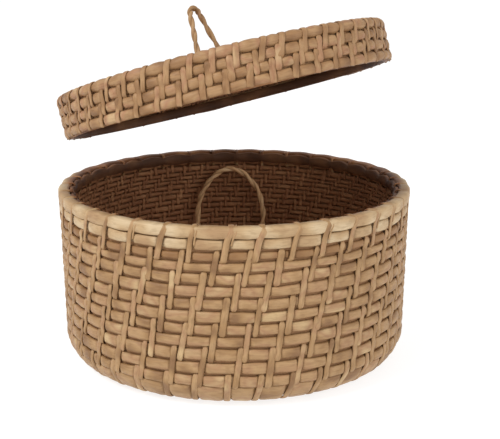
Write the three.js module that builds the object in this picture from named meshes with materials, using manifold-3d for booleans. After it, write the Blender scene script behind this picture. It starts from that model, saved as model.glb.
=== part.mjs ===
// A round lidded basket woven from split rattan, in millimetres, +Z up.
// The origin is the centre of its base, on the floor, and its front faces -Y.
// The lid hangs in the air above the mouth, tipped down towards the back left, as a hand holds it by its
// loop. Slid down and levelled it lies on the rim.

import * as THREE from 'three';
import Module from 'manifold-3d';
import { mergeVertices } from 'three/addons/utils/BufferGeometryUtils.js';

const solids = await Module();
solids.setup();

// Driving dimensions
const GAP = 0.3;                    // clearance between neighbours
const BASKET_RADIUS = 150;          // outside of the lashed rim
const BASKET_HEIGHT = 148;          // floor to the top of the rim
const RIM_WIDTH = 13.5;
const RIM_HEIGHT = 10;
const RIM_WRAPS = 36;
const WALL_TOP_RADIUS = 148.5;      // outside of the weave just under the rim
const WALL_FOOT_RADIUS = 146;       // outside of the weave where the base corner starts
const CORNER_RADIUS = 25;           // rounding between wall and base
const WEAVER_THICKNESS = 4.5;
const STAKE_THICKNESS = 3;
const WALL_ROWS = 12;
const UPPER_CORNER_ROW = [1, 44];   // the two rows on the corner, in degrees round it from level
const LOWER_CORNER_ROW = [46, 88];
const WEAVER_CROWN = 1;             // how far the middle of a weaver stands proud of its edges
const BASKET_SIDES = 36;

const LID_RADIUS = 141;
const LID_HEIGHT = 35.4;
const LID_HOOP_HEIGHT = 8.7;
const LID_HOOP_WIDTH = 8;
const LID_ROWS = 2;
const LID_MAT_THICKNESS = 5;
const LID_WRAPS = 48;
const LID_SIDES = 48;
const LID_TILT = THREE.MathUtils.degToRad(17.6);
const LID_LOW_SIDE = THREE.MathUtils.degToRad(141.3);   // heading of the lid's low edge, from +X
const LID_CENTRE = new THREE.Vector3(-3.9, 4.6, 217.6);  // middle of the lid's lower face, held up

const WRAP_WIDTH = 5;               // one turn of lashing, a flat cane strip
const WRAP_THICKNESS = 1;
const WRAP_CLEARANCE = 0.5;

// A loop's shape gives points up one leg, as shares of its half width and of its height.
const LID_LOOP = {
  width: 32,
  height: 52.3,
  cord: 4.8,
  turns: 5,
  lean: THREE.MathUtils.degToRad(26),
  shape: [[0.82, 0.3], [0.6, 0.58], [0.4, 0.85], [0.26, 0.96]],
};
const LID_LOOP_OFFSET = -6;         // the loop's middle, along X from the lid's centre
const INNER_LOOP = {
  width: 62,
  height: 72.6,
  cord: 4.8,
  turns: 6,
  lean: THREE.MathUtils.degToRad(-6),
  shape: [[1, 0.2], [1, 0.46], [0.82, 0.72], [0.42, 0.93]],
};
const INNER_LOOP_FOOT = new THREE.Vector3(-3.7, 123.5, 62);
const STRAND_REACH = 0.28;          // from a cord's middle to a strand's, as a share of the cord
const STRAND_PLAY = 0.27;           // half the clearance between the two strands
const STRAND_SIDES = 5;
const STRAND_STEPS_PER_TURN = 8;
const TIE_HEIGHT = 4;
const TIE_WALL = 1.8;
const TIE_SIDES = 12;
const TIE_PLAY = 1.8;               // room for a loop's foot to rock in its tie
const FOOT_HEIGHT = 2.3;            // a loop's rocking line above what it is tied to
const FOOT_END = 1;                 // how far a leg reaches below its rocking line

const RIM_LOW = BASKET_HEIGHT - RIM_HEIGHT;
const ROW_PITCH = (RIM_LOW - CORNER_RADIUS) / WALL_ROWS;
const CORNER_CENTRE = WALL_FOOT_RADIUS - CORNER_RADIUS;
const FLOOR_LOW = WEAVER_THICKNESS + GAP;

const OUTER_CANE = cane('#c9a77c');
const RIM_CANE = cane('#dcc8a4');
const DARK_CANE = cane('#4f3320');
const LOOP_CANE = cane('#b59468');

function cane(colour) {
  return new THREE.MeshStandardMaterial({ color: colour, roughness: 0.6, metalness: 0 });
}

function piece(name, geometry, material) {
  const mesh = new THREE.Mesh(geometry, material);
  mesh.name = name;
  return mesh;
}

// A body of revolution about Z from its half section, given as [radius, height] corners in
// anticlockwise order. A section that touches the axis starts and ends there; any other closes on itself.
function turned(corners, sides) {
  const outline = corners.map(([radius, height]) => new THREE.Vector2(radius, height));
  if (outline[0].x > 0) outline.push(outline[0].clone());
  return new THREE.LatheGeometry(outline, sides).rotateX(Math.PI / 2);
}

function asSolid(geometry) {
  const bare = geometry.clone();
  bare.deleteAttribute('normal');
  bare.deleteAttribute('uv');
  const merged = mergeVertices(bare, 1e-4);
  return new solids.Manifold(new solids.Mesh({
    numProp: 3,
    vertProperties: merged.attributes.position.array,
    triVerts: new Uint32Array(merged.index.array),
  }));
}

function asGeometry(solid) {
  const mesh = solid.getMesh();
  const geometry = new THREE.BufferGeometry();
  geometry.setAttribute('position', new THREE.BufferAttribute(mesh.vertProperties, 3));
  geometry.setIndex(new THREE.BufferAttribute(mesh.triVerts, 1));
  return geometry;
}

// Corners on an arc round the middle of the base corner's rounding, with angles in degrees below level.
function cornerArc(radius, angles) {
  return angles.map((angle) => {
    const turn = THREE.MathUtils.degToRad(angle);
    return [CORNER_CENTRE + radius * Math.cos(turn), CORNER_RADIUS - radius * Math.sin(turn)];
  });
}

// One flat weaver that runs round a wall, thickest along its middle.
function weaver(lowRadius, highRadius, low, high, sides) {
  const middleRadius = (lowRadius + highRadius) / 2;
  return turned([
    [lowRadius - WEAVER_THICKNESS, low],
    [lowRadius - WEAVER_CROWN, low],
    [middleRadius, (low + high) / 2],
    [highRadius - WEAVER_CROWN, high],
    [highRadius - WEAVER_THICKNESS, high],
  ], sides);
}

function wallRadius(height) {
  const share = (height - CORNER_RADIUS) / (RIM_LOW - CORNER_RADIUS);
  return WALL_FOOT_RADIUS + share * (WALL_TOP_RADIUS - WALL_FOOT_RADIUS);
}

function wallRow(number) {
  const high = RIM_LOW - (number - 1) * ROW_PITCH - GAP;
  const low = RIM_LOW - number * ROW_PITCH;
  return weaver(wallRadius(low), wallRadius(high), low, high, BASKET_SIDES);
}

function cornerRow([start, end]) {
  const angles = [start, (start + end) / 2, end];
  const outer = cornerArc(CORNER_RADIUS, angles).reverse();
  const inner = cornerArc(CORNER_RADIUS - WEAVER_THICKNESS, angles);
  return turned([...outer, ...inner], BASKET_SIDES);
}

// The upright stakes, close set, from the edge of the floor round the base corner and up to the rim.
function stakeCage() {
  const outer = CORNER_RADIUS - FLOOR_LOW;
  const inner = outer - STAKE_THICKNESS;
  const bend = [90, 67.5, 45, 22.5, 0];
  const outerTop = wallRadius(RIM_LOW) - WEAVER_THICKNESS - GAP;
  return turned([
    ...cornerArc(outer, bend),
    [outerTop, RIM_LOW - GAP],
    [outerTop - STAKE_THICKNESS, RIM_LOW - GAP],
    ...cornerArc(inner, bend).reverse(),
  ], BASKET_SIDES);
}

// A round flat mat with its lower face at a given height.
function mat(radius, low, thickness, sides) {
  return turned([[0, low], [radius, low], [radius, low + thickness], [0, low + thickness]], sides);
}

function hoop(innerRadius, outerRadius, low, high, sides) {
  return turned([
    [innerRadius, low],
    [outerRadius, low],
    [outerRadius, high],
    [innerRadius, high],
  ], sides);
}

// A cane strip bound round a hoop: square turns at even spacing, joined by the run that carries the
// strip from one turn to the next under the hoop.
function lashing(innerRadius, outerRadius, low, high, wraps) {
  const middle = (innerRadius + outerRadius) / 2;
  const height = (low + high) / 2;
  const width = outerRadius - innerRadius;
  const depth = high - low;
  const wall = 2 * WRAP_THICKNESS;
  const block = asSolid(new THREE.BoxGeometry(width, WRAP_WIDTH, depth));
  const bore = asSolid(new THREE.BoxGeometry(width - wall, WRAP_WIDTH + wall, depth - wall));
  const turn = block.subtract(bore).translate([middle, 0, height]);
  const run = hoop(middle - WRAP_THICKNESS, middle + WRAP_THICKNESS, low, low + WRAP_THICKNESS, wraps);
  let bound = asSolid(run.rotateZ(Math.PI / 2));
  for (let wrap = 0; wrap < wraps; wrap += 1) {
    bound = bound.add(turn.rotate([0, 0, (wrap * 360) / wraps]));
  }
  return asGeometry(bound);
}

// The middle line of a loop's cord, in the XZ plane: two legs and a round top, from foot to foot.
function archLine({ width, height, cord, shape }) {
  const half = width / 2;
  const top = height - cord / 2;
  const leg = [[half, -FOOT_END], ...shape.map(([across, up]) => [across * half, up * top])];
  const otherLeg = leg.map(([across, up]) => [-across, up]).reverse();
  const points = [...leg, [0, top], ...otherLeg].map(([across, up]) => new THREE.Vector3(-across, 0, up));
  return new THREE.CatmullRomCurve3(points, false, 'centripetal');
}

// One strand of a two-strand twist along a line that lies in the XZ plane.
class Strand extends THREE.Curve {
  constructor(line, reach, turns, start) {
    super();
    Object.assign(this, { line, reach, turns, start });
  }

  getPoint(share) {
    const along = this.line.getTangentAt(share);
    const angle = this.start + share * this.turns * 2 * Math.PI;
    const across = new THREE.Vector3(-along.z, 0, along.x).multiplyScalar(this.reach * Math.cos(angle));
    const square = new THREE.Vector3(0, this.reach * Math.sin(angle), 0);
    return this.line.getPointAt(share).add(across).add(square);
  }
}

function strand(loop, start) {
  const reach = loop.cord * STRAND_REACH;
  const radius = reach - STRAND_PLAY;
  const corners = [...Array(STRAND_SIDES).keys()].map((corner) => {
    const turn = (corner * 2 * Math.PI) / STRAND_SIDES;
    return new THREE.Vector2(radius * Math.cos(turn), radius * Math.sin(turn));
  });
  return new THREE.ExtrudeGeometry(new THREE.Shape(corners), {
    steps: loop.turns * STRAND_STEPS_PER_TURN,
    extrudePath: new Strand(archLine(loop), reach, loop.turns, start),
  });
}

// The two strands of a loop, with the loop's feet on the group's X axis.
function twistedLoop(name, loop) {
  const group = new THREE.Group();
  group.add(piece(`${name}_strand_1`, strand(loop, 0), LOOP_CANE));
  group.add(piece(`${name}_strand_2`, strand(loop, Math.PI), LOOP_CANE));
  return group;
}

// A cane binding round one foot of a loop, centred on the foot's rocking line.
function tie(loop) {
  const bore = loop.cord / 2 + TIE_PLAY;
  return hoop(bore, bore + TIE_WALL, -TIE_HEIGHT / 2, TIE_HEIGHT / 2, TIE_SIDES);
}

function basket() {
  const group = new THREE.Group();
  const matRadius = CORNER_CENTRE - GAP;
  group.add(piece('base_mat', mat(matRadius, 0, WEAVER_THICKNESS, BASKET_SIDES), OUTER_CANE));
  group.add(piece('floor_mat', mat(matRadius, FLOOR_LOW, STAKE_THICKNESS, BASKET_SIDES), DARK_CANE));
  group.add(piece('stake_cage', stakeCage(), DARK_CANE));
  group.add(piece('corner_row_upper', cornerRow(UPPER_CORNER_ROW), OUTER_CANE));
  group.add(piece('corner_row_lower', cornerRow(LOWER_CORNER_ROW), OUTER_CANE));
  for (let number = 1; number <= WALL_ROWS; number += 1) {
    group.add(piece(`wall_row_${String(number).padStart(2, '0')}`, wallRow(number), OUTER_CANE));
  }
  const cover = WRAP_THICKNESS + WRAP_CLEARANCE;
  const rimInner = BASKET_RADIUS - RIM_WIDTH;
  const rimMiddle = BASKET_RADIUS - RIM_WIDTH / 2;
  const low = RIM_LOW + cover;
  const high = BASKET_HEIGHT - cover;
  const inside = hoop(rimInner + cover, rimMiddle - GAP, low, high, BASKET_SIDES);
  const outside = hoop(rimMiddle + GAP, BASKET_RADIUS - cover, low, high, BASKET_SIDES);
  group.add(piece('rim_hoop_inner', inside, DARK_CANE));
  group.add(piece('rim_hoop_outer', outside, RIM_CANE));
  const bound = lashing(rimInner, BASKET_RADIUS, RIM_LOW, BASKET_HEIGHT, RIM_WRAPS);
  group.add(piece('rim_lashing', bound, RIM_CANE));
  return group;
}

function innerLoop() {
  const group = new THREE.Group();
  group.position.copy(INNER_LOOP_FOOT);
  const loop = twistedLoop('inner_loop', INNER_LOOP);
  loop.rotation.x = INNER_LOOP.lean;
  group.add(loop);
  for (const [side, sign] of [['left', -1], ['right', 1]]) {
    const binding = piece(`inner_loop_tie_${side}`, tie(INNER_LOOP), DARK_CANE);
    binding.position.x = (sign * INNER_LOOP.width) / 2;
    group.add(binding);
  }
  return group;
}

// The lid's own pieces, with the middle of its lower face at the group's origin and level.
function lid() {
  const group = new THREE.Group();
  const rowPitch = (LID_HEIGHT - 2 * LID_HOOP_HEIGHT - GAP) / LID_ROWS;
  const rowsHigh = LID_HEIGHT - LID_HOOP_HEIGHT - GAP;
  const cageRadius = LID_RADIUS - WEAVER_THICKNESS - GAP;
  const foot = hoop(LID_RADIUS - LID_HOOP_WIDTH, LID_RADIUS, 0, LID_HOOP_HEIGHT - GAP, LID_SIDES);
  group.add(piece('lid_bottom_hoop', foot, OUTER_CANE));
  for (const [name, number] of [['lid_row_lower', 0], ['lid_row_upper', 1]]) {
    const low = LID_HOOP_HEIGHT + number * rowPitch;
    const row = weaver(LID_RADIUS, LID_RADIUS, low, low + rowPitch - GAP, LID_SIDES);
    group.add(piece(name, row, OUTER_CANE));
  }
  const cageInner = cageRadius - STAKE_THICKNESS;
  group.add(piece('lid_cage', hoop(cageInner, cageRadius, LID_HOOP_HEIGHT, rowsHigh, LID_SIDES), DARK_CANE));
  const underMat = mat(cageInner - GAP, rowsHigh - STAKE_THICKNESS, STAKE_THICKNESS, LID_SIDES);
  group.add(piece('lid_under_mat', underMat, DARK_CANE));
  const hoopLow = LID_HEIGHT - LID_HOOP_HEIGHT;
  const hoopInner = LID_RADIUS - RIM_HEIGHT;
  const cover = WRAP_THICKNESS + WRAP_CLEARANCE;
  const top = hoop(hoopInner + cover, LID_RADIUS - cover, hoopLow + cover, LID_HEIGHT - cover, LID_SIDES);
  group.add(piece('lid_top_hoop', top, RIM_CANE));
  const bound = lashing(hoopInner, LID_RADIUS, hoopLow, LID_HEIGHT, LID_WRAPS);
  group.add(piece('lid_lashing', bound, RIM_CANE));
  const topMat = mat(hoopInner - GAP, hoopLow, LID_MAT_THICKNESS, LID_SIDES);
  group.add(piece('lid_mat', topMat, OUTER_CANE));
  return group;
}

// The feet of the lid's loop lie on the line that the lid tips about, square to its low side.
function lidAssembly() {
  const footHeight = LID_HEIGHT - LID_HOOP_HEIGHT + LID_MAT_THICKNESS + FOOT_HEIGHT;
  const tippingAxis = new THREE.Vector3(-Math.sin(LID_LOW_SIDE), Math.cos(LID_LOW_SIDE), 0);
  const tip = new THREE.Quaternion().setFromAxisAngle(tippingAxis, LID_TILT);
  const tipped = new THREE.Group();
  tipped.quaternion.copy(tip);
  tipped.position.copy(LID_CENTRE);
  tipped.add(lid());
  for (const [side, sign] of [['front', 1], ['back', -1]]) {
    const binding = piece(`lid_tie_${side}`, tie(LID_LOOP), RIM_CANE);
    binding.position.copy(tippingAxis).multiplyScalar((sign * LID_LOOP.width) / 2);
    binding.position.add(new THREE.Vector3(LID_LOOP_OFFSET, 0, footHeight));
    tipped.add(binding);
  }
  const foot = new THREE.Vector3(LID_LOOP_OFFSET, 0, footHeight).applyQuaternion(tip).add(LID_CENTRE);
  const stand = new THREE.Quaternion().setFromAxisAngle(tippingAxis, LID_LOOP.lean);
  const heading = new THREE.Quaternion().setFromUnitVectors(new THREE.Vector3(1, 0, 0), tippingAxis);
  const loop = twistedLoop('lid_loop', LID_LOOP);
  loop.quaternion.copy(stand).multiply(heading);
  loop.position.copy(foot);
  const group = new THREE.Group();
  group.add(tipped, loop);
  return group;
}

const object = new THREE.Group();
object.add(basket(), innerLoop(), lidAssembly());

export default object;
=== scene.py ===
"""A round lidded basket woven from split rattan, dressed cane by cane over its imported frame."""
import math

import bpy
import numpy as np
from mathutils import Matrix, Vector


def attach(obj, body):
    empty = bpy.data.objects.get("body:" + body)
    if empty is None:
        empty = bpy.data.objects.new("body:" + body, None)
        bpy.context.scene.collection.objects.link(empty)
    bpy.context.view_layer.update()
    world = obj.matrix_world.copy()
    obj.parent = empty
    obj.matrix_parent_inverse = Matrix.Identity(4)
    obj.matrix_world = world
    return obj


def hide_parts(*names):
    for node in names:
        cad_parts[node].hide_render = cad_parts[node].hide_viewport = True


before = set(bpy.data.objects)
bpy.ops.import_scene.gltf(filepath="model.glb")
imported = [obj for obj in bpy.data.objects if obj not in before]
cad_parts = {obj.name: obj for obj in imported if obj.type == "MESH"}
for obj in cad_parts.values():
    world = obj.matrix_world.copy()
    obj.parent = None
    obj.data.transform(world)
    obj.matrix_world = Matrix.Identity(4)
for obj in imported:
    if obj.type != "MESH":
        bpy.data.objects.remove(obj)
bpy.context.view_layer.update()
rng = np.random.default_rng(7)

# Driving dimensions, in metres
MM = 0.001
UP = np.array([0.0, 0.0, 1.0])

RIM_TOP = 148 * MM
RIM_LOW = 138 * MM
CORNER_RADIUS = 25 * MM
WALL_TOP_RADIUS = 148.5 * MM
WALL_FOOT_RADIUS = 146 * MM
CORNER_CENTRE = WALL_FOOT_RADIUS - CORNER_RADIUS
# The rows' upper edges, as lengths up the wall in millimetres
ROW_TOPS = [148, 138.7, 128.3, 120.3, 111.5, 101.6, 91.1, 81.2, 70.9, 61.2, 50.8, 39.7, 28.7, 17.8]
CORNER_BEND = 3.2 * MM                  # how far the lowest weaver's edges bend in with the corner
FOOT_EDGE = -10                         # the lowest row's lower edge, in the same millimetres
WALL_ROWS = 12
THIN_ROW = 2                            # the row of narrower, darker cane
THIN_ROW_TONE = 0.8
STAKES = 108
WIDE_SIDE = math.radians(-80)           # heading at which wraps and the lid's strips are widest
WRAP_SLIMMEST = 0.55                    # the slimmest wraps' share of the widest wraps' width
SPLIT_SHARE = 0.5                       # share of the rim's wraps that a sliver of cane runs beside
INSIDE_STAKES = 200
INSIDE_STRIP_WIDTH = 3.6 * MM
INSIDE_THICKNESS = 2.2 * MM             # thickness of the weavers that line the basket and the lid
INSIDE_REACH = 1.2 * MM                 # how far an inside strip runs on under the next row
INSIDE_STATIONS = 400                   # points round an inside weaver
RIM_STATIONS = 864                      # points round a hoop or an outside weaver
RIM_BARE_FRONT = 8 * MM                 # width of the rim's top left light, in front and behind; in front the rest is dye, behind it is dye and painted shade
RIM_BARE_BACK = 0.2 * MM
FADE_START = -0.17                      # where that width changes, as the sine of the heading
FADE_END = 0.42
FIRST_WRAP = math.radians(-92.9)        # heading of the wrap nearest the middle of the front

ROW_GAP = 2.4 * MM
ROW_WAVE = 0.4 * MM                     # how far a row's edge wanders up and down
WEAVER_THICKNESS = 4.2 * MM
DIP = 1.9 * MM                          # how far a weaver sinks where a strip crosses over it
DIP_LEFT = -0.2 * MM                    # how far the sunk part shows beside the strip
DIP_RIGHT = 0.8 * MM
PILLOW_REACH = 4 * MM                   # how far from a strip a weaver starts to bend down to it
PILLOW_HEIGHT = 0.8 * MM
STRIP_WIDTH = 5.2 * MM
STRIP_THICKNESS = 1.6 * MM
STRIP_BUMPS = 0.45 * MM                 # how far a strip rises over each row
STRIP_LIFT = -0.1 * MM                  # a strip's face, outside the crown of the weavers
STRIP_SLANT = 6.6 * MM                  # sideways run of a strip from its top to its bottom
STRIP_REACH = 2.6 * MM                  # how far a strip runs on under the row beyond its own
STRIP_CUT = 0.3 * MM                    # how far the last strips stop short of the last row's edge
STRIP_STEP = 1.6 * MM                   # distance between the stations along a strip
DIVE_LENGTH = 1.2                       # run over which a strip's end goes under, as a share of its reach
DIVE_DEPTH = 1.6                        # how deep it goes under, as a share of its reach
DIVE_POWER = 1.6                        # how sharply it turns down
DIP_SHARPNESS = 7                       # how steeply a weaver sinks at the sides of a strip
SUNK_SHADE = 0.4                        # how dark a weaver is where a strip presses it in
WRAP_SHARE = 0.92                       # a rim wrap's width, as a share of its strip's
WRAP_THICKNESS = 1.1 * MM
SLIVER_WIDTH = 1.5 * MM
PINCH_REACH = 2.4                       # how quickly a hoop swells again beside a wrap
PINCH_POWER = 0.8
PINCH_SHADE = 200                       # shade for each metre that a hoop is drawn in
DYE_AND_SHADE_EDGE = 0.8 * MM                   # width over which the rim's dye and painted shade start
DYE_AND_SHADE_LOW = 136 * MM                    # the dye and painted shade stay above this height
WALL_THICKNESS = 8.6 * MM               # from the outside of the weave to its inside
MID_HEIGHT = 80 * MM                    # where the wall's radius is taken for sizes along a row
CORE_DEPTH = 3.8 * MM                   # from a wall's outside to the thin shell within it
CORE_THICKNESS = 0.8 * MM
CORE_STATIONS = 216
TIE_GAP = 1.6 * MM                      # from a loop's cord to the middle of the cane that ties it

MAT_WIDTH = 8.4 * MM                    # a mat's canes
MAT_CANE_THICKNESS = 1.4 * MM
MAT_PITCH = 9.2 * MM
MAT_THICKNESS = 4.4 * MM
MAT_MARGIN = 0.8 * MM                   # from a mat's face to the middle of its highest canes
MAT_SHORTEST = 4 * MM                   # half the length of a mat's shortest canes
MAT_STEP = 1.2 * MM                     # distance between the stations along a mat's cane
MAT_SHADE = 0.35                        # how dark a mat's cane is where others cross over it
FLOOR_RADIUS = CORNER_CENTRE + 7 * MM
FLOOR_LOW = 4.8 * MM                    # the inside floor's lower and upper face
FLOOR_HIGH = 8 * MM

LID_RADIUS = 141 * MM
LID_HEIGHT = 35.4 * MM
LID_HOOP_HEIGHT = 8.7 * MM
LID_STAKES = 144
LID_WALL_THICKNESS = 7.8 * MM
LID_ROW_GAP = 1.2 * MM
LID_DIP = 1.9 * MM
LID_STRIP_LIFT = -0.5 * MM
LID_STRIP_WIDTH = 5.4 * MM
LID_SLIMMEST = 0.4                      # the slimmest strips' share of the widest strips' width
LID_STRIP_SLANT = 2.2 * MM              # sideways run of a strip over one row
LID_FIRST_STRIP = math.radians(-91)     # heading of the first strip, near the middle of the front
LID_WRAP_SHARE = 0.9                    # a wrap's width, as a share of its strip's
LID_CORE_DEPTH = 4.2 * MM
LID_MAT_RADIUS = LID_RADIUS - 6 * MM
LID_ROWS_HIGH = LID_HEIGHT - LID_HOOP_HEIGHT
LID_HOOP_TOP = 35.8 * MM
LID_FOOT = -0.1 * MM
LID_TILT = math.radians(17.6)
LID_LOW_SIDE = math.radians(141.3)
LID_CENTRE = Vector((-3.9, 4.6, 217.6)) * MM
LID_AXIS = Vector((-math.sin(LID_LOW_SIDE), math.cos(LID_LOW_SIDE), 0))
LID_PLACE = Matrix.Translation(LID_CENTRE) @ Matrix.Rotation(LID_TILT, 4, LID_AXIS)

# A loop's shape gives points up one leg, as shares of its half width and of its height
INNER_LOOP = {
    "width": 62 * MM, "height": 72.6 * MM, "cord": 5.4 * MM, "turns": 6,
    "shape": [(1, 0.2), (1, 0.46), (0.82, 0.72), (0.42, 0.93)],
}
LID_LOOP = {
    "width": 32 * MM, "height": 52.3 * MM, "cord": 5.2 * MM, "turns": 5,
    "shape": [(0.82, 0.3), (0.6, 0.58), (0.4, 0.85), (0.26, 0.96)],
}
STRAND_REACH = 0.18                     # from a cord's middle to a strand's, as a share of the cord
STRAND_WIDTH = 0.62                     # a strand's width, as a share of the cord
INNER_LOOP_FOOT = Vector((-3.7, 123.5, 62)) * MM
INNER_LOOP_LEAN = math.radians(-6)
LID_LOOP_LEAN = math.radians(26)
LID_LOOP_OFFSET = -6 * MM
LID_LOOP_HEIGHT = 34 * MM               # height of its feet, from the lid's lower edge
LID_LOOP_FOOT = Vector((LID_LOOP_OFFSET, 0, LID_LOOP_HEIGHT))

# Studio and camera
CAMERA_PLACE = (0, -1.0329, 0.3843)
CAMERA_DIP = 0.255                      # how far the camera looks down
CAMERA_ROLL = -0.013
CAMERA_LENS = 89.05                     # focal length, in millimetres on the sensor below
CAMERA_SENSOR = 36
LIGHT_TARGET = Vector((0, 0, 0.1))
PAPER_GREY = 0.3
PAPER_GLOW = 0.8
SKY_STRENGTH = 0.7

# Material scales: along a cane, across it, and from cane to cane
PATCH_SCALE = (38, 60, 97)
STREAK_SCALE = (60, 2600, 53)
BLOTCH_SCALE = (160, 420, 31)
SHEEN = 0.32                            # specular level of every cane

# Half sections of a cane, as (share of half its width, share of half its thickness)
FLAT_OVAL = np.array([
    (-1.0, -0.3), (-0.98, 0.3), (-0.88, 0.68), (-0.5, 0.93), (0.0, 1.0),
    (0.5, 0.93), (0.88, 0.68), (0.98, 0.3), (1.0, -0.3), (0.85, -1.0), (-0.85, -1.0),
])
ROUND_OVAL = np.array([
    (-1.0, -0.45), (-0.95, 0.05), (-0.8, 0.48), (-0.45, 0.86), (0.0, 1.0),
    (0.45, 0.86), (0.8, 0.48), (0.95, 0.05), (1.0, -0.45), (0.85, -1.0), (-0.85, -1.0),
])
SPLIT_CANE = np.array([
    (-1.0, -0.3), (-0.88, 0.5), (-0.5, 0.92), (0.0, 1.0),
    (0.5, 0.92), (0.88, 0.5), (1.0, -0.3), (0.7, -1.0), (-0.7, -1.0),
])
THIN_CANE = np.array([(-1.0, -0.4), (-0.55, 0.8), (0.0, 1.0), (0.55, 0.8), (1.0, -0.4), (0.0, -1.0)])
SOFT_SQUARE = np.array([
    (-1.0, -0.5), (-1.0, 0.45), (-0.9, 0.8), (-0.6, 0.97), (0.0, 1.0),
    (0.6, 0.97), (0.9, 0.8), (1.0, 0.45), (1.0, -0.5), (0.85, -0.95), (0.0, -1.0), (-0.85, -0.95),
])
ROUND_CANE = np.array([
    (math.cos(turn), math.sin(turn)) for turn in np.linspace(math.pi, -math.pi, 12, endpoint=False)
])


# Canes: every cane is a section swept along a line
class Canes:
    """Swept canes that become one piece."""

    def __init__(self):
        self.points = []
        self.faces = []
        self.fibre = []
        self.shade = []
        self.dye_and_shade = []
        self.count = 0

    def sweep(self, line, across, outward, section, width, thickness,
              shade=0.0, dye_and_shade=None, closed=False, bend=0.0):
        """Adds one cane whose section's middle follows line, with its width along across.

        Shade is how deep in a crevice each station lies, painted as shade; the argument after it gives
        how dark each point is, from dye and from painted shade; bend is how far the section's edges are
        bent inwards.
        """
        stations, corners = len(line), len(section)
        half_width = np.broadcast_to(width, stations)[:, None, None] / 2
        half_thickness = np.broadcast_to(thickness, stations)[:, None, None] / 2
        sideways = section[None, :, :1] * half_width * across[:, None, :]
        bulge = section[None, :, 1:] * half_thickness - bend * section[None, :, :1] ** 2
        outwards = bulge * outward[:, None, :]
        self.points.append((line[:, None, :] + sideways + outwards).reshape(-1, 3))

        steps = np.linalg.norm(np.diff(line, axis=0), axis=1)
        along = np.concatenate([[0], np.cumsum(steps)])
        fibre = np.empty((stations, corners, 3))
        fibre[:, :, 0] = along[:, None]
        fibre[:, :, 1] = section[None, :, 0] * half_width[:, :, 0]
        fibre[:, :, 2] = rng.random()
        self.fibre.append(fibre.reshape(-1, 3))
        shades = np.broadcast_to(np.asarray(shade, float).reshape(-1, 1), (stations, corners))
        # painted shade: a cane's sides and back darken, as if in shadow
        edge = np.clip(0.25 - section[:, 1], 0, 1)[None, :] * 0.6
        self.shade.append(np.clip(shades + edge, 0, 1).reshape(-1))
        self.dye_and_shade.append(dye_and_shade(self.points[-1]) if dye_and_shade else np.zeros(stations * corners))
        self.join(stations, corners, closed)
        if not closed:
            ring = np.arange(corners)
            self.faces.append((self.count + ring).tolist())
            self.faces.append((self.count + (stations - 1) * corners + ring[::-1]).tolist())
        self.count += stations * corners

    def join(self, rings, corners, closed):
        """Faces between neighbouring rings of points, and from the last to the first if closed."""
        ring = np.arange(corners)
        after = np.roll(ring, -1)
        for number in range(rings if closed else rings - 1):
            here = self.count + number * corners
            there = self.count + ((number + 1) % rings) * corners
            quads = np.stack([here + ring, there + ring, there + after, here + after], axis=1)
            self.faces.extend(quads.tolist())

    def make(self, name, material, body, slot, *nodes, matrix=None):
        """The canes as one piece that rides on a body and stands for CAD nodes."""
        points = np.concatenate(self.points)
        if matrix is not None:
            turn = np.array(matrix.to_3x3())
            points = points @ turn.T + np.array(matrix.translation)
        mesh = bpy.data.meshes.new(name)
        mesh.from_pydata(points.tolist(), [], self.faces)
        mesh.polygons.foreach_set("use_smooth", [True] * len(mesh.polygons))
        fibre = mesh.attributes.new("fibre", "FLOAT_VECTOR", "POINT")
        fibre.data.foreach_set("vector", np.concatenate(self.fibre).ravel())
        for attribute, values in (("shade", self.shade), ("dye_and_shade", self.dye_and_shade)):
            layer = mesh.attributes.new(attribute, "FLOAT", "POINT")
            layer.data.foreach_set("value", np.concatenate(values))
        mesh.materials.append(material)
        obj = bpy.data.objects.new(name, mesh)
        bpy.context.scene.collection.objects.link(obj)
        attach(obj, body)
        if nodes:
            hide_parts(*nodes)
        return obj


def heading(angle):
    """Level unit vectors pointing outwards at each angle round the axis."""
    angle = np.asarray(angle, float)
    return np.stack([np.cos(angle), np.sin(angle), np.zeros_like(angle)], axis=-1)


class Wall:
    """A round wall, addressed by angle and by length up its outside face."""

    def __init__(self, radius_at, corner=0.0):
        self.radius_at = radius_at
        self.corner = corner

    def place(self, angle, up, out):
        """Points out from the wall's face, with the face's outward and upward directions."""
        angle, up, out = np.broadcast_arrays(angle, up, out)
        turn = np.clip(self.corner - up, 0, None) / (self.corner or 1)
        level = np.maximum(up, self.corner)
        radius = self.radius_at(level) - self.corner * (1 - np.cos(turn))
        height = level - self.corner * np.sin(turn)
        around = heading(angle)
        outward = around * np.cos(turn)[..., None] - UP * np.sin(turn)[..., None]
        upward = around * np.sin(turn)[..., None] + UP * np.cos(turn)[..., None]
        point = around * radius[..., None] + UP * height[..., None]
        return point + outward * out[..., None], outward, upward


def basket_radius(height):
    share = (height - CORNER_RADIUS) / (RIM_LOW - CORNER_RADIUS)
    return WALL_FOOT_RADIUS + share * (WALL_TOP_RADIUS - WALL_FOOT_RADIUS)


BASKET_WALL = Wall(basket_radius, CORNER_RADIUS)
LID_WALL = Wall(lambda height: np.full_like(height, LID_RADIUS))


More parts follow.
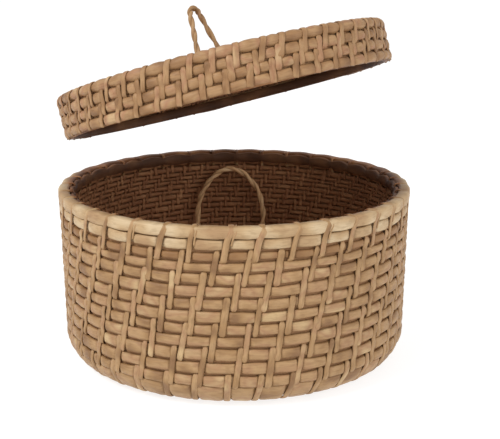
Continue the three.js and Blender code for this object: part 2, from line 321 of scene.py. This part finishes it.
class Weave:
    """Level rows round a wall, with upright strips that cross over some of them."""

    def __init__(self, wall, edges, strips, face=1, depth=0.0):
        self.wall = wall
        self.edges = edges
        self.strips = strips
        self.face = face
        self.depth = depth
        self.phases = rng.random((len(edges), 3)) * 2 * math.pi

    def edge(self, number, angle):
        """Height of the upper edge of a row, which wanders a little as it goes round."""
        a, b, c = self.phases[number]
        wave = np.sin(5 * angle + a) + 0.7 * np.sin(11 * angle + b) + 0.5 * np.sin(23 * angle + c)
        return self.edges[number] + ROW_WAVE * wave

    def dip(self, row, angle):
        """How deep a row's weaver sinks under its strips and how far it bends to them, 0 to 1."""
        deepest = np.zeros_like(angle)
        pillow = np.zeros_like(angle)
        radius = float(self.wall.radius_at(np.array(MID_HEIGHT)))
        for strip in self.strips:
            if strip["first"] <= row <= strip["last"]:
                at = strip["top_angle"] + strip["lean"] * (row + 0.5 - strip["first"])
                away = ((angle - at + math.pi) % (2 * math.pi) - math.pi) * radius
                reach = strip["width"] / 2 + np.where(away > 0, DIP_RIGHT, DIP_LEFT)
                deepest = np.maximum(deepest, 1 / (1 + (np.abs(away) / reach) ** DIP_SHARPNESS))
                pillow = np.maximum(pillow, 1 / (1 + (away / PILLOW_REACH) ** 2))
        return deepest, pillow

    def weaver(self, canes, row, section=FLAT_OVAL, stations=RIM_STATIONS, dip=DIP,
               thickness=WEAVER_THICKNESS, gap=ROW_GAP, tone=0.0, lift=0.0, bend=0.0):
        """One row's weaver, bulging between the strips that hold it in."""
        angle = np.linspace(math.pi / 2, 2.5 * math.pi, stations, endpoint=False)
        high = self.edge(row, angle) - gap / 2
        low = self.edge(row + 1, angle) + gap / 2
        sunk, lean = self.dip(row, angle)
        flutter = 0.15 * MM * np.sin(37 * angle + row) + 0.12 * MM * np.sin(71 * angle + 2 * row)
        out = lift + flutter - sunk * dip + PILLOW_HEIGHT * (0.5 - lean) - thickness / 2
        line, outward, upward = self.wall.place(angle, (high + low) / 2, self.face * out - self.depth)
        canes.sweep(line, upward * self.face, outward * self.face, section, high - low, thickness,
                    shade=sunk * SUNK_SHADE + tone, closed=True, bend=bend)

    def lining(self, canes, row, dip, gap):
        """One row's weaver on the inside of a wall, of thin cane."""
        self.weaver(canes, row, THIN_CANE, INSIDE_STATIONS, dip, INSIDE_THICKNESS, gap)

    def strip(self, canes, strip, section=SPLIT_CANE, reach=STRIP_REACH, lift=STRIP_LIFT,
              thickness=STRIP_THICKNESS):
        """One strip: over its rows, and at its ends down under the rows beyond, if there are any."""
        first, last = strip["first"], strip["last"]
        top = strip["top_angle"]
        bottom = top + strip["lean"] * (last + 1 - first)
        highest = self.edge(first, top) + reach
        beyond = reach if last + 2 < len(self.edges) else -STRIP_CUT
        lowest = self.edge(last + 1, bottom) - beyond
        stations = int((highest - lowest) / STRIP_STEP) + 4
        up = np.linspace(highest, lowest, stations)
        share = (highest - up) / (highest - lowest)
        angle = top + (bottom - top) * share
        inside = np.minimum(highest - up, up - lowest + reach - beyond)
        dive = np.clip(1 - inside / (DIVE_LENGTH * reach), 0, 1) ** DIVE_POWER
        bumps = STRIP_BUMPS * np.cos(2 * math.pi * (last + 1 - first) * share + math.pi)
        out = lift + bumps - dive * DIVE_DEPTH * reach - thickness / 2
        line, outward, upward = self.wall.place(angle, up, self.face * out - self.depth)
        along = np.gradient(line, axis=0)
        along /= np.linalg.norm(along, axis=1)[:, None]
        across = np.cross(outward * self.face, along)
        normal = np.cross(along, across)
        # painted shade: a strip darkens where its ends go under the rows
        canes.sweep(line, across, normal, section, strip["width"], thickness, shade=dive)


def slimness(angle, slimmest):
    """Share of its full width that a strip has at a heading, where the weaver used finer cane."""
    return slimmest + (1 - slimmest) * max(math.cos(angle - WIDE_SIDE), 0)


def twill(first_row, last_row):
    """The strips of a three-over, three-under twill that steps two rows from stake to stake."""
    strips = []
    step = 2 * math.pi / STAKES
    for stake in range(STAKES):
        start = 2 * stake % 6 - 6
        for first in range(start, last_row + 1, 6):
            last = min(first + 2, last_row)
            if last < first_row:
                continue
            first_seen = max(first, first_row)
            lean = -STRIP_SLANT / WALL_TOP_RADIUS / 3 * rng.uniform(0.6, 1.35)
            middle = FIRST_WRAP - stake * step + rng.normal(0, 0.11) * step
            strips.append({
                "first": first_seen,
                "last": last,
                "lean": lean,
                "top_angle": middle - lean * (last + 1 - first_seen) / 2,
                "width": STRIP_WIDTH * rng.uniform(0.84, 1.12),
            })
    return strips


# Materials
def linear(red, green, blue):
    """A colour given as it looks on screen, from 0 to 255."""
    def channel(value):
        value /= 255
        return value / 12.92 if value <= 0.04045 else ((value + 0.055) / 1.055) ** 2.4
    return (channel(red), channel(green), channel(blue), 1)


class Nodes:
    """A material's node tree, built a node at a time."""

    def __init__(self, name):
        self.material = bpy.data.materials.new(name)
        self.material.use_nodes = True
        self.tree = self.material.node_tree
        self.shader = self.tree.nodes["Principled BSDF"]

    def add(self, kind, settings=None, **inputs):
        node = self.tree.nodes.new(kind)
        for key, value in (settings or {}).items():
            setattr(node, key, value)
        for key, value in inputs.items():
            socket = node.inputs[int(key[1:])] if key[1:].isdigit() else node.inputs[key]
            if isinstance(value, bpy.types.NodeSocket):
                self.tree.links.new(value, socket)
            else:
                socket.default_value = value
        return node

    def attribute(self, name):
        return self.add("ShaderNodeAttribute", {"attribute_name": name})

    def scaled(self, vector, scale):
        node = self.add("ShaderNodeVectorMath", {"operation": "MULTIPLY"}, _0=vector, _1=scale)
        return node.outputs[0]

    def noise(self, vector, scale, detail=2.0, roughness=0.5):
        node = self.add("ShaderNodeTexNoise", None, Vector=vector, Scale=scale, Detail=detail,
                        Roughness=roughness)
        return node.outputs[0]

    def ramp(self, factor, stops):
        node = self.add("ShaderNodeValToRGB", None, Fac=factor)
        elements = node.color_ramp.elements
        while len(elements) < len(stops):
            elements.new(0.5)
        for element, (position, colour) in zip(elements, stops):
            element.position = position
            element.color = colour
        return node.outputs[0]

    def mix(self, factor, a, b, blend="MIX"):
        node = self.add("ShaderNodeMix", {"data_type": "RGBA", "blend_type": blend},
                        _0=factor, _6=a, _7=b)
        return node.outputs[2]

    def maths(self, operation, a, b):
        return self.add("ShaderNodeMath", {"operation": operation}, _0=a, _1=b).outputs[0]


# tones of dyed cane; on the rim's back they also serve as painted shade
DYE_AND_SHADE_TONES = [
    (0.34, linear(106, 68, 42)),
    (0.52, linear(134, 88, 55)),
    (0.68, linear(164, 115, 74)),
]


def cane_material(name, tones, crevice, roughness=0.52, streak=0.35, dye_and_shade=0.85):
    """Split cane: fibres that run along it, tone that changes from cane to cane, painted shade in its
    crevices.
    """
    nodes = Nodes(name)
    fibre = nodes.attribute("fibre").outputs["Vector"]
    shade = nodes.attribute("shade").outputs["Fac"]
    patches = nodes.noise(nodes.scaled(fibre, PATCH_SCALE), 1.0, 1.0)
    colour = nodes.ramp(patches, tones)
    fine = nodes.noise(nodes.scaled(fibre, STREAK_SCALE), 1.0, 3.0, 0.6)
    streaks = nodes.ramp(fine, [(0.3, (0.45, 0.4, 0.34, 1)), (0.58, (1, 1, 1, 1))])
    colour = nodes.mix(streak, colour, streaks, "MULTIPLY")
    blotch = nodes.noise(nodes.scaled(fibre, BLOTCH_SCALE), 1.0, 2.0)
    blotches = nodes.ramp(blotch, [(0.36, (0.66, 0.6, 0.55, 1)), (0.52, (1, 1, 1, 1))])
    colour = nodes.mix(0.4, colour, blotches, "MULTIPLY")
    # painted shade: the colour darkens towards the crevice colour where the shade attribute is high, as
    # strongly as the last argument says
    depth = nodes.maths("MULTIPLY", shade, dye_and_shade)
    colour = nodes.mix(depth, colour, crevice)
    # the rim's dye, with painted shade where it spreads over the rim's top at the back
    colour = nodes.mix(nodes.attribute("dye_and_shade").outputs["Fac"], colour, nodes.ramp(patches, DYE_AND_SHADE_TONES))
    nodes.tree.links.new(colour, nodes.shader.inputs["Base Color"])
    rough = nodes.maths("MULTIPLY_ADD", fine, 0.2)
    rough.node.inputs[2].default_value = roughness - 0.1
    nodes.tree.links.new(rough, nodes.shader.inputs["Roughness"])
    nodes.shader.inputs["Specular IOR Level"].default_value = SHEEN
    bump = nodes.add("ShaderNodeBump", None, Strength=0.35, Distance=0.0004, Height=fine)
    nodes.tree.links.new(bump.outputs[0], nodes.shader.inputs["Normal"])
    return nodes.material


HONEY = cane_material("honey_cane", [
    (0.30, linear(140, 105, 71)),
    (0.42, linear(164, 128, 87)),
    (0.52, linear(178, 143, 102)),
    (0.60, linear(170, 131, 95)),
    (0.72, linear(196, 166, 123)),
], linear(132, 92, 54), dye_and_shade=0.75)
LID_HONEY = cane_material("lid_cane", [
    (0.30, linear(132, 97, 64)),
    (0.42, linear(156, 118, 80)),
    (0.52, linear(170, 134, 95)),
    (0.60, linear(164, 121, 88)),
    (0.72, linear(190, 158, 118)),
], linear(124, 84, 50), dye_and_shade=0.75)
CREAM = cane_material("cream_cane", [
    (0.32, linear(172, 138, 100)),
    (0.48, linear(190, 160, 120)),
    (0.64, linear(206, 182, 146)),
], linear(134, 96, 58), streak=0.28)
DARK = cane_material("dark_cane", DYE_AND_SHADE_TONES, linear(62, 38, 24), roughness=0.6, streak=0.4, dye_and_shade=0.7)
UMBER = cane_material("umber_cane", [
    (0.34, linear(164, 123, 86)),
    (0.68, linear(186, 144, 104)),
], linear(174, 132, 94), roughness=0.8)
WALNUT = cane_material("inside_cane", [
    (0.34, linear(150, 101, 67)),
    (0.52, linear(166, 115, 77)),
    (0.68, linear(180, 131, 91)),
], linear(136, 91, 58), roughness=0.7, streak=0.35, dye_and_shade=0.15)
LOOP_TAN = cane_material("loop_cane", [
    (0.34, linear(214, 166, 118)),
    (0.52, linear(232, 188, 138)),
    (0.68, linear(244, 208, 162)),
], linear(110, 78, 48))


# Basket
def basket_edges():
    """Lengths up the wall of the rows' upper edges, from the rim's top down and round the corner."""
    return np.array([*ROW_TOPS, FOOT_EDGE]) * MM


def fine_edges():
    """The inside rows' upper edges: two rows inside for each one outside."""
    edges = basket_edges()[1:]
    halves = np.arange(2 * len(edges) - 1) / 2
    return np.concatenate([[RIM_TOP], np.interp(halves, np.arange(len(edges)), edges)])


def fine_twill(rows, count):
    """The strips of a two-over, two-under twill."""
    step = 2 * math.pi / count
    return [{
        "first": first,
        "last": min(first + 1, rows),
        "lean": rng.normal(0, 0.1) * step,
        "top_angle": stake * step + rng.normal(0, 0.12) * step,
        "width": INSIDE_STRIP_WIDTH * rng.uniform(0.8, 1.15),
    } for stake in range(count) for first in range(1 + stake % 4, rows + 1, 4)]


LAST_ROW = len(ROW_TOPS) - 1
OUTSIDE = Weave(BASKET_WALL, basket_edges(), twill(1, LAST_ROW))
INSIDE_ROWS = 2 * LAST_ROW - 1
INSIDE = Weave(BASKET_WALL, fine_edges(), fine_twill(INSIDE_ROWS, INSIDE_STAKES), face=-1,
               depth=WALL_THICKNESS)


def is_wrap(strip):
    """Whether a strip crosses the top two rows, where it is bound over the rim as well."""
    return (strip["first"], strip["last"]) == (1, 2)


def outer_weave():
    for row in range(1, WALL_ROWS + 1):
        canes = Canes()
        OUTSIDE.weaver(canes, row, tone=THIN_ROW_TONE if row == THIN_ROW else rng.uniform(0, 0.1))
        material = CREAM if row == 1 else HONEY
        canes.make(f"weaver_{row:02d}", material, "basket", "outer_cane", f"wall_row_{row:02d}")
    corner = Canes()
    OUTSIDE.weaver(corner, LAST_ROW, lift=-0.3 * MM, bend=CORNER_BEND)
    corner.make("corner_weaver", HONEY, "basket", "outer_cane", "corner_row_upper", "corner_row_lower")
    strips = Canes()
    for strip in OUTSIDE.strips:
        if not is_wrap(strip):
            OUTSIDE.strip(strips, strip)
    strips.make("stakes_outside", HONEY, "basket", "outer_cane", "stake_cage")


def inner_weave():
    rows = Canes()
    for row in range(1, INSIDE_ROWS + 1):
        INSIDE.lining(rows, row, dip=0.3 * MM, gap=0.4 * MM)
    rows.make("weavers_inside", WALNUT, "basket", "dark_cane")
    strips = Canes()
    for strip in INSIDE.strips:
        INSIDE.strip(strips, strip, THIN_CANE, INSIDE_REACH, lift=0.0, thickness=0.9 * MM)
    strips.make("stakes_inside", WALNUT, "basket", "dark_cane")


def core(name, body, wall, high, low, stations, depth, matrix=None):
    """A thin closed shell between the two faces of a wall, which stops light at the gaps."""
    angle = np.linspace(0, 2 * math.pi, CORE_STATIONS, endpoint=False)
    canes = Canes()
    up = np.linspace(high, low, stations)
    outer = [wall.place(angle, height, -depth)[0] for height in up]
    inner = [wall.place(angle, height, -depth - CORE_THICKNESS)[0] for height in up[::-1]]
    rings = np.array(outer + inner)
    points = rings.reshape(-1, 3)
    canes.points.append(points)
    canes.fibre.append(points)
    # painted shade: the whole shell takes its crevice colour
    canes.shade.append(np.ones(len(points)))
    canes.dye_and_shade.append(np.zeros(len(points)))
    canes.join(len(rings), len(angle), closed=True)
    canes.make(name, UMBER, body, "dark_cane", matrix=matrix)


def wall_core():
    core("wall_core", "basket", BASKET_WALL, RIM_LOW + 4 * MM, -12 * MM, 24, CORE_DEPTH)


def ring_cane(canes, radius, height, width, thickness, section, stations=RIM_STATIONS,
              pinch=None, dye_and_shade=None):
    """A hoop of cane, with its width upright and its thickness outwards."""
    angle = np.linspace(math.pi / 2, 2.5 * math.pi, stations, endpoint=False)
    outward = heading(angle)
    slack = pinch(angle) if pinch else np.zeros_like(angle)
    line = outward * (radius - slack)[:, None] + UP * height
    upward = np.broadcast_to(UP, line.shape)
    canes.sweep(line, upward, outward, section, width - 2 * slack, thickness, shade=slack * PINCH_SHADE,
                dye_and_shade=dye_and_shade, closed=True)


def fitted(points, stations):
    """A smooth line through a few points."""
    points = np.asarray(points, float)
    padded = np.concatenate([[2 * points[0] - points[1]], points, [2 * points[-1] - points[-2]]])
    spans = len(points) - 1
    place = np.linspace(0, spans, stations)
    span = np.minimum(place.astype(int), spans - 1)
    t = (place - span)[:, None]
    a, b, c, d = (padded[span + shift] for shift in range(4))
    return 0.5 * (2 * b + (c - a) * t + (2 * a - 5 * b + 4 * c - d) * t ** 2
                  + (3 * b - a - 3 * c + d) * t ** 3)


def wrap(canes, profile, angles, width, stations=40, dye_and_shade=None):
    """A strip bound over a hoop: profile is its way round the hoop as (radius, height)."""
    line = fitted(profile, stations)
    angle = fitted(angles, stations)
    radius, height, turn = line[:, 0], line[:, 1], angle[:, 0]
    around = heading(turn)
    centre = around * radius[:, None] + UP * height[:, None]
    along = np.gradient(centre, axis=0)
    along /= np.linalg.norm(along, axis=1)[:, None]
    sideways = np.stack([-np.sin(turn), np.cos(turn), np.zeros_like(turn)], axis=1)
    outward = np.cross(along, sideways)
    outward /= np.linalg.norm(outward, axis=1)[:, None]
    across = np.cross(outward, along)
    canes.sweep(centre, across, outward, SPLIT_CANE, width, WRAP_THICKNESS, dye_and_shade=dye_and_shade)


def pinched(places, depth):
    """How far a hoop is drawn in at each angle by the wraps at some places round it."""
    spacing = 2 * math.pi / len(places)

    def slack(angle):
        away = (angle[:, None] - places[None, :] + math.pi) % (2 * math.pi) - math.pi
        nearest = np.abs(away).min(axis=1) / spacing
        return depth * (1 - np.clip(nearest * PINCH_REACH, 0, 1) ** PINCH_POWER)
    return slack


def rim_dye_and_shade(points):
    """How dark the rim is: its inner part dyed in front, and at the back all but its outer face, dyed and
    with painted shade.
    """
    radius = np.hypot(points[:, 0], points[:, 1])
    # painted shade: towards the back the dark part spreads out over the rim's top
    behind = np.clip((points[:, 1] / radius - FADE_START) / (FADE_END - FADE_START), 0, 1)
    bare = RIM_BARE_FRONT + (RIM_BARE_BACK - RIM_BARE_FRONT) * behind
    darkened = np.clip((WALL_TOP_RADIUS - bare - radius) / DYE_AND_SHADE_EDGE, 0, 1)
    return darkened * (points[:, 2] > DYE_AND_SHADE_LOW)


def rim():
    bound = [strip for strip in OUTSIDE.strips if is_wrap(strip)]
    places = np.array([strip["top_angle"] - strip["lean"] for strip in bound])
    wall = WALL_TOP_RADIUS
    outer = Canes()
    ring_cane(outer, radius=wall - 3.7 * MM, height=142.7 * MM, width=9.8 * MM, thickness=9.4 * MM,
              section=SOFT_SQUARE, pinch=pinched(places, 0.7 * MM), dye_and_shade=rim_dye_and_shade)
    outer.make("rim_cane_outer", CREAM, "basket", "rim_cane", "rim_hoop_outer")
    inner = Canes()
    ring_cane(inner, radius=wall - 10.2 * MM, height=141.4 * MM, width=9.4 * MM, thickness=3.4 * MM,
              section=SOFT_SQUARE, pinch=pinched(places, 1.8 * MM))
    inner.make("rim_cane_inner", DARK, "basket", "dark_cane", "rim_hoop_inner")

    lashing = Canes()
    for strip, top in zip(bound, places):
        foot = OUTSIDE.edge(3, strip["top_angle"])
        width = WRAP_SHARE * strip["width"] * slimness(top, WRAP_SLIMMEST)
        profile = [
            (wall - 9.5 * MM, 133.5 * MM), (wall - 11.6 * MM, 137.5 * MM),
            (wall - 11.9 * MM, 143 * MM), (wall - 10.6 * MM, 146.6 * MM),
            (wall - 5 * MM, 147 * MM), (wall - 1 * MM, 146.2 * MM),
            (wall + 0.2 * MM, 143.6 * MM), (wall, 138.5 * MM),
            (wall - 0.3 * MM, 133 * MM), (wall - 0.4 * MM, foot + 2 * MM),
            (wall - 1.2 * MM, foot), (wall - 3.4 * MM, foot - 2.4 * MM),
        ]
        turns = [0, 0, 0, 0, 0, 0, 0, 1, 1.6, 2.4, 2.8, 3]
        angles = [(top + turn * strip["lean"],) for turn in turns]
        wrap(lashing, profile, angles, width, 56, rim_dye_and_shade)
        if rng.random() < SPLIT_SHARE:
            beside = (width / 2 + 1.3 * MM) / wall
            shifted = [(angle + beside,) for (angle,) in angles[3:9]]
            wrap(lashing, profile[3:9], shifted, SLIVER_WIDTH, 36, rim_dye_and_shade)
    lashing.make("rim_wraps", HONEY, "basket", "rim_cane", "rim_lashing")


def woven_disc(canes, radius, low, high):
    """A round mat of flat canes in a two-over, two-under twill."""
    count = int(radius // MAT_PITCH)
    middle, swing = (low + high) / 2, (high - low) / 2 - MAT_MARGIN
    for number in range(-count, count + 1):
        offset = number * MAT_PITCH
        reach = math.sqrt(max(radius ** 2 - (abs(offset) + MAT_WIDTH / 2) ** 2, MAT_SHORTEST ** 2))
        stations = max(int(reach / MAT_STEP), 8)
        along = np.linspace(-reach, reach, stations)
        for crossways in (False, True):
            phase = along / MAT_PITCH - number + (-1.5 if crossways else 0.5)
            wave = np.clip(1.6 * np.sin(math.pi / 2 * phase), -1, 1)
            height = middle + swing * wave
            level = np.full(stations, offset)
            line = np.stack([along, level, height], axis=1)
            across = np.broadcast_to([0.0, 1.0, 0.0], line.shape)
            if crossways:
                line = line[:, [1, 0, 2]]
                across = np.broadcast_to([-1.0, 0.0, 0.0], line.shape)
            outward = np.broadcast_to(UP, line.shape)
            canes.sweep(line, across, outward, SPLIT_CANE, MAT_WIDTH, MAT_CANE_THICKNESS,
                        shade=MAT_SHADE * (wave < -0.6))


def sheet(canes, radius, low, high):
    """A thin round sheet under a mat, which closes the small holes along its edge."""
    turn = np.linspace(math.pi, -math.pi, 96, endpoint=False)
    circle = np.stack([np.cos(turn), np.sin(turn)], axis=1)
    line = UP * np.array([[low], [high]])
    across = np.tile([1.0, 0.0, 0.0], (2, 1))
    outward = np.tile([0.0, 1.0, 0.0], (2, 1))
    canes.sweep(line, across, outward, circle, 2 * radius, 2 * radius)


def basket_floor():
    under = Canes()
    woven_disc(under, CORNER_CENTRE - 0.8 * MM, 0.1 * MM, MAT_THICKNESS)
    under.make("base_weave", HONEY, "basket", "outer_cane", "base_mat")
    floor = Canes()
    woven_disc(floor, FLOOR_RADIUS, FLOOR_LOW, FLOOR_HIGH)
    floor.make("floor_weave", WALNUT, "basket", "dark_cane", "floor_mat")
    closing = Canes()
    sheet(closing, FLOOR_RADIUS, MAT_THICKNESS, FLOOR_LOW - 0.1 * MM)
    closing.make("floor_core", WALNUT, "basket", "dark_cane")


# Loops
def arch(loop, stations):
    """The middle line of a loop's cord: two legs and a round top, in the XZ plane."""
    half, top = loop["width"] / 2, loop["height"] - loop["cord"] / 2
    right = [(half, -1 * MM)] + [(across * half, up * top) for across, up in loop["shape"]]
    left = [(-across, up) for across, up in right]
    line = fitted(left + [(0, top)] + right[::-1], stations)
    return np.stack([line[:, 0], np.zeros(stations), line[:, 1]], axis=1)


def twisted_loop(name, loop, material, matrix, body):
    """Two round canes twisted together into a loop."""
    stations = loop["turns"] * 24
    middle = arch(loop, stations)
    along = np.gradient(middle, axis=0)
    along /= np.linalg.norm(along, axis=1)[:, None]
    square = np.broadcast_to([0.0, 1.0, 0.0], middle.shape)
    across = np.cross(square, along)
    share = np.linspace(0, 1, stations)
    for number in (1, 2):
        turn = 2 * math.pi * loop["turns"] * share + math.pi * number
        turn += 0.5 * np.sin(2 * math.pi * share * 2.3 + number)
        reach = loop["cord"] * STRAND_REACH
        lift = (across * np.cos(turn)[:, None] + square * np.sin(turn)[:, None])
        line = middle + lift * reach
        run = np.gradient(line, axis=0)
        run /= np.linalg.norm(run, axis=1)[:, None]
        side = np.cross(lift, run)
        size = loop["cord"] * STRAND_WIDTH
        canes = Canes()
        canes.sweep(line, side, lift, ROUND_CANE, size, size)
        canes.make(f"{name}_cane_{number}", material, body, "loop_cane", f"{name}_strand_{number}",
                   matrix=matrix)


def tie(canes, centre, bore, turns=3, spread=4 * MM, reach=0.0):
    """A thin cane bound a few turns round a foot, and back to what it is tied to."""
    stations = turns * 20
    share = np.linspace(0, 1, stations)
    turn = 2 * math.pi * turns * share
    toward = np.array([0.0, 1.0, 0.0])
    aside = np.cross(UP, toward)
    back = np.clip(np.cos(turn), 0, 1)[:, None] * toward * reach
    ring = np.cos(turn)[:, None] * toward + np.sin(turn)[:, None] * aside
    line = np.array(centre) + ring * bore + back + UP * ((share - 0.5) * spread)[:, None]
    across = np.broadcast_to(UP, line.shape)
    canes.sweep(line, across, ring, SPLIT_CANE, spread / turns * 0.9, 1.2 * MM)


def loops():
    stand = Matrix.Translation(INNER_LOOP_FOOT) @ Matrix.Rotation(INNER_LOOP_LEAN, 4, "X")
    twisted_loop("inner_loop", INNER_LOOP, LOOP_TAN, stand, "inner_loop")
    for side, sign in (("left", -1), ("right", 1)):
        canes = Canes()
        foot = INNER_LOOP_FOOT + Vector((sign * INNER_LOOP["width"] / 2, 0, 0))
        tie(canes, foot, INNER_LOOP["cord"] / 2 + TIE_GAP, reach=5 * MM)
        canes.make(f"inner_tie_{side}", DARK, "basket", "dark_cane", f"inner_loop_tie_{side}")

    foot = LID_PLACE @ LID_LOOP_FOOT
    turn = Vector((1, 0, 0)).rotation_difference(LID_AXIS).to_matrix().to_4x4()
    stand = Matrix.Translation(foot) @ Matrix.Rotation(LID_LOOP_LEAN, 4, LID_AXIS) @ turn
    twisted_loop("lid_loop", LID_LOOP, HONEY, stand, "lid_loop")
    for side, sign in (("front", 1), ("back", -1)):
        canes = Canes()
        centre = LID_AXIS * (sign * LID_LOOP["width"] / 2) + LID_LOOP_FOOT
        tie(canes, centre, LID_LOOP["cord"] / 2 + TIE_GAP)
        canes.make(f"lid_binding_{side}", CREAM, "lid", "rim_cane", f"lid_tie_{side}",
                   matrix=LID_PLACE)


# Lid
def lid_strips():
    """Strips over two rows at a time, one row on from stake to stake; row 0 is the hoop."""
    strips = []
    step = 2 * math.pi / LID_STAKES
    for stake in range(LID_STAKES):
        first = stake % 3
        middle = LID_FIRST_STRIP - stake * step + rng.normal(0, 0.12) * step
        lean = -LID_STRIP_SLANT / LID_RADIUS * rng.uniform(0.6, 1.4)
        strips.append({
            "first": first,
            "last": first + 1,
            "lean": lean,
            "top_angle": middle - lean,
            "width": LID_STRIP_WIDTH * slimness(middle, LID_SLIMMEST) * rng.uniform(0.88, 1.1),
        })
    return strips


def lid_outer_weave(outside):
    rows = [("lid_weaver_upper", "lid_row_upper"), ("lid_weaver_lower", "lid_row_lower"),
            ("lid_foot_cane", "lid_bottom_hoop")]
    for row, (name, node) in enumerate(rows, start=1):
        canes = Canes()
        outside.weaver(canes, row, section=ROUND_OVAL, dip=LID_DIP, gap=LID_ROW_GAP)
        canes.make(name, LID_HONEY, "lid", "outer_cane", node, matrix=LID_PLACE)
    strips = Canes()
    for strip in outside.strips:
        if strip["first"]:
            outside.strip(strips, strip, lift=LID_STRIP_LIFT)
    strips.make("lid_stakes_outside", LID_HONEY, "lid", "outer_cane", "lid_cage", matrix=LID_PLACE)


def lid_inner_weave(inside):
    rows = Canes()
    for row in range(1, 5):
        inside.lining(rows, row, dip=0.5 * MM, gap=0.9 * MM)
    ring_cane(rows, radius=LID_RADIUS - 6.1 * MM, height=4.3 * MM, width=8.2 * MM,
              thickness=3.4 * MM, section=SOFT_SQUARE, stations=432)
    rows.make("lid_weavers_inside", DARK, "lid", "dark_cane", matrix=LID_PLACE)
    strips = Canes()
    for strip in inside.strips:
        inside.strip(strips, strip, THIN_CANE, INSIDE_REACH, lift=0.1 * MM, thickness=1.1 * MM)
    strips.make("lid_stakes_inside", DARK, "lid", "dark_cane", matrix=LID_PLACE)
    core("lid_core", "lid", LID_WALL, LID_ROWS_HIGH + 2 * MM, 1.5 * MM, 3, LID_CORE_DEPTH, LID_PLACE)


def lid_mats():
    top = Canes()
    woven_disc(top, LID_MAT_RADIUS, LID_ROWS_HIGH, LID_ROWS_HIGH + MAT_THICKNESS)
    top.make("lid_top_weave", LID_HONEY, "lid", "outer_cane", "lid_mat", matrix=LID_PLACE)
    under = Canes()
    woven_disc(under, LID_MAT_RADIUS, LID_ROWS_HIGH - 3.3 * MM, LID_ROWS_HIGH - 0.2 * MM)
    under.make("lid_under_weave", DARK, "lid", "dark_cane", "lid_under_mat", matrix=LID_PLACE)


def lid_hoop(outside):
    bound = [strip for strip in outside.strips if strip["first"] == 0]
    places = np.array([strip["top_angle"] for strip in bound])
    hoop = Canes()
    ring_cane(hoop, radius=LID_RADIUS - 4.9 * MM, height=LID_HOOP_TOP - 4.9 * MM, width=9.8 * MM,
              thickness=9.8 * MM, section=ROUND_CANE, pinch=pinched(places, 1.3 * MM))
    hoop.make("lid_rim_cane", LID_HONEY, "lid", "rim_cane", "lid_top_hoop", matrix=LID_PLACE)

    wall, top, edges = LID_RADIUS, LID_HOOP_TOP, outside.edges
    profile = [
        (wall - 7.2 * MM, top - 8.6 * MM), (wall - 9.2 * MM, top - 5 * MM),
        (wall - 7.8 * MM, top - 1.6 * MM), (wall - 5 * MM, top - 0.5 * MM),
        (wall - 2 * MM, top - 1.6 * MM), (wall - 0.4 * MM, top - 5 * MM),
        (wall - 0.8 * MM, edges[1]), (wall - 0.8 * MM, edges[2] + 2.4 * MM),
        (wall - 1.8 * MM, edges[2]), (wall - 4.4 * MM, edges[2] - 2.4 * MM),
    ]
    turns = [0, 0, 0, 0, 0, 0.5, 1, 1.7, 2, 2.2]
    lashing = Canes()
    for strip in bound:
        angles = [(strip["top_angle"] + turn * strip["lean"],) for turn in turns]
        wrap(lashing, profile, angles, strip["width"] * LID_WRAP_SHARE, 48)
    lashing.make("lid_wraps", LID_HONEY, "lid", "rim_cane", "lid_lashing", matrix=LID_PLACE)


def lid():
    middle = (LID_ROWS_HIGH + LID_HOOP_HEIGHT) / 2
    edges = np.array([LID_HOOP_TOP, LID_ROWS_HIGH, middle, LID_HOOP_HEIGHT, LID_FOOT])
    outside = Weave(LID_WALL, edges, lid_strips())
    fine = np.concatenate([[LID_HEIGHT], np.linspace(LID_ROWS_HIGH, LID_HOOP_HEIGHT, 5)])
    inside = Weave(LID_WALL, fine, fine_twill(4, INSIDE_STAKES), face=-1, depth=LID_WALL_THICKNESS)
    lid_outer_weave(outside)
    lid_inner_weave(inside)
    lid_mats()
    lid_hoop(outside)


# Studio
def studio():
    floor_mesh = bpy.data.meshes.new("floor")
    half = 6
    floor_mesh.from_pydata([(-half, -half, 0), (half, -half, 0), (half, half, 0), (-half, half, 0)],
                           [], [(0, 1, 2, 3)])
    floor = bpy.data.objects.new("floor", floor_mesh)
    bpy.context.scene.collection.objects.link(floor)
    paper = bpy.data.materials.new("paper")
    paper.use_nodes = True
    shader = paper.node_tree.nodes["Principled BSDF"]
    shader.inputs["Base Color"].default_value = (PAPER_GREY, PAPER_GREY, PAPER_GREY, 1)
    shader.inputs["Roughness"].default_value = 1
    shader.inputs["Emission Color"].default_value = (1, 1, 1, 1)
    shader.inputs["Emission Strength"].default_value = PAPER_GLOW
    floor_mesh.materials.append(paper)

    world = bpy.data.worlds.new("studio")
    bpy.context.scene.world = world
    world.use_nodes = True
    background = world.node_tree.nodes["Background"]
    background.inputs[0].default_value = (1, 1, 1, 1)
    background.inputs[1].default_value = SKY_STRENGTH
    bpy.context.scene.view_settings.view_transform = "Standard"
    area_light("key", place=(-1.1, -0.9, 1.5), size=0.7, power=21)
    area_light("fill", place=(1.2, -0.9, 0.8), size=1.2, power=7)


def area_light(name, place, size, power):
    light = bpy.data.lights.new(name, "AREA")
    light.size = size
    light.energy = power
    obj = bpy.data.objects.new(name, light)
    obj.location = place
    obj.rotation_euler = (LIGHT_TARGET - Vector(place)).to_track_quat("-Z", "Y").to_euler()
    bpy.context.scene.collection.objects.link(obj)


def camera():
    data = bpy.data.cameras.new("camera")
    data.lens = CAMERA_LENS
    data.sensor_width = CAMERA_SENSOR
    obj = bpy.data.objects.new("camera", data)
    obj.location = CAMERA_PLACE
    obj.rotation_euler = (math.pi / 2 - CAMERA_DIP, 0, CAMERA_ROLL)
    bpy.context.scene.collection.objects.link(obj)
    bpy.context.scene.camera = obj


outer_weave()
inner_weave()
wall_core()
rim()
basket_floor()
loops()
lid()
studio()
camera()
